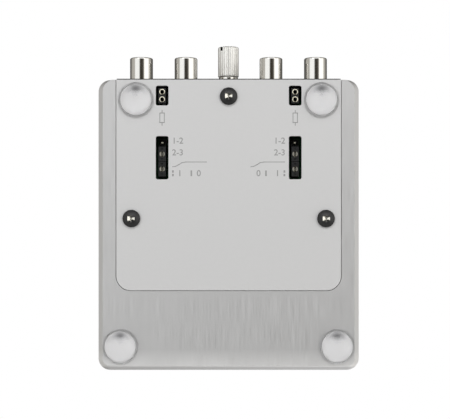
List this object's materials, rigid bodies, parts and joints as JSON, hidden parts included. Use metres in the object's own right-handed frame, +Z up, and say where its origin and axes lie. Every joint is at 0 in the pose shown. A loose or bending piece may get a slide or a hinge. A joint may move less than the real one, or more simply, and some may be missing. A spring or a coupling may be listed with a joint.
{
  "type": "phono preamp",
  "caption": "Small metal-cased phono preamplifier with rear sockets, an earth terminal, clear feet and plug-on selector caps under its base plate.",
  "frame": {"origin": "centre of the whole part's footprint, on the surface that the feet stand on", "axes": "+Z up, +Y towards the sockets, -Y the front, +X to the right seen from the front"},
  "size_m": [0.088, 0.1124, 0.0335],
  "materials": {
    "housing_aluminium": "finely brushed, clear anodised",
    "plate_aluminium": "satin, clear anodised",
    "panel_black": "fine matt powder coat",
    "screw_black": "black zinc, worn bright in the cross slots",
    "zinc_steel": "bright zinc",
    "clear_foot": "clear polyurethane",
    "board_green": "solder mask",
    "standoff_brass": "nickelled brass",
    "socket_nickel": "polished nickel",
    "insulator_white": "moulded",
    "contact_gold": "gold flashed",
    "body_white": "moulded",
    "body_red": "moulded",
    "terminal_nickel": "satin nickel",
    "contact_tin": "tinned",
    "plastic_black": "moulded",
    "light_clear": "clear epoxy",
    "chip_black": "moulded epoxy",
    "capacitor_blue": "sleeved can",
    "film_red": "boxed film",
    "resistor_blue": "lacquered"
  },
  "bodies": {
    "chassis": {"housing": "housing_aluminium", "base_plate": "plate_aluminium", "rear_panel": "panel_black", "case_screws": "screw_black", "press_nut": "zinc_steel", "board_screws": "zinc_steel", "ground_lock_nut": "zinc_steel", "rear_left_foot": "clear_foot", "rear_right_foot": "clear_foot", "front_left_foot": "clear_foot", "front_right_foot": "clear_foot", "circuit_board": "board_green", "board_standoffs": "standoff_brass", "left_input_barrel": "socket_nickel", "left_input_insulator": "insulator_white", "left_input_contact": "contact_gold", "left_input_body": "body_white", "right_input_barrel": "socket_nickel", "right_input_insulator": "insulator_white", "right_input_contact": "contact_gold", "right_input_body": "body_red", "left_output_barrel": "socket_nickel", "left_output_insulator": "insulator_white", "left_output_contact": "contact_gold", "left_output_body": "body_white", "right_output_barrel": "socket_nickel", "right_output_insulator": "insulator_white", "right_output_contact": "contact_gold", "right_output_body": "body_red", "ground_post": "terminal_nickel", "ground_lug": "contact_tin", "power_socket_pin": "contact_tin", "power_socket_spring": "contact_tin", "power_socket_body": "plastic_black", "left_selector_strip": "plastic_black", "left_selector_pins": "contact_gold", "left_load_strip": "plastic_black", "left_load_contacts": "contact_gold", "right_selector_strip": "plastic_black", "right_selector_pins": "contact_gold", "right_load_strip": "plastic_black", "right_load_contacts": "contact_gold", "power_light": "light_clear", "amplifier_chips": "chip_black", "voltage_regulator": "chip_black", "supply_capacitors": "capacitor_blue", "film_capacitors": "film_red", "resistors": "resistor_blue"},
    "earth_ring": {"ground_ring": "terminal_nickel"},
    "earth_nut": {"ground_nut": "terminal_nickel"},
    "left_mode_jumper": {"left_mode_cap": "plastic_black", "left_mode_clip": "contact_tin"},
    "left_filter_jumper": {"left_filter_cap": "plastic_black", "left_filter_clip": "contact_tin"},
    "right_mode_jumper": {"right_mode_cap": "plastic_black", "right_mode_clip": "contact_tin"},
    "right_filter_jumper": {"right_filter_cap": "plastic_black", "right_filter_clip": "contact_tin"}
  },
  "joints": [
    {"name": "left_mode_pull", "type": "slide", "parent": "chassis", "child": "left_mode_jumper", "axis": [0, 0, -1], "range_m": [0, 0.009]},
    {"name": "left_filter_pull", "type": "slide", "parent": "chassis", "child": "left_filter_jumper", "axis": [0, 0, -1], "range_m": [0, 0.009]},
    {"name": "right_mode_pull", "type": "slide", "parent": "chassis", "child": "right_mode_jumper", "axis": [0, 0, -1], "range_m": [0, 0.009]},
    {"name": "right_filter_pull", "type": "slide", "parent": "chassis", "child": "right_filter_jumper", "axis": [0, 0, -1], "range_m": [0, 0.009]},
    {"name": "earth_ring_slide", "type": "slide", "parent": "chassis", "child": "earth_ring", "axis": [0, 1, 0], "range_m": [0, 0.0035]},
    {"name": "earth_nut_turn", "type": "hinge", "parent": "earth_ring", "child": "earth_nut", "pos_m": [0, 0, 0.027], "axis": [0, 1, 0], "range_deg": [0, 1800]}
  ],
  "couplings": [
    {"joint": "earth_nut_turn", "follows": "earth_ring_slide", "rad_per_m": 8976}
  ]
}
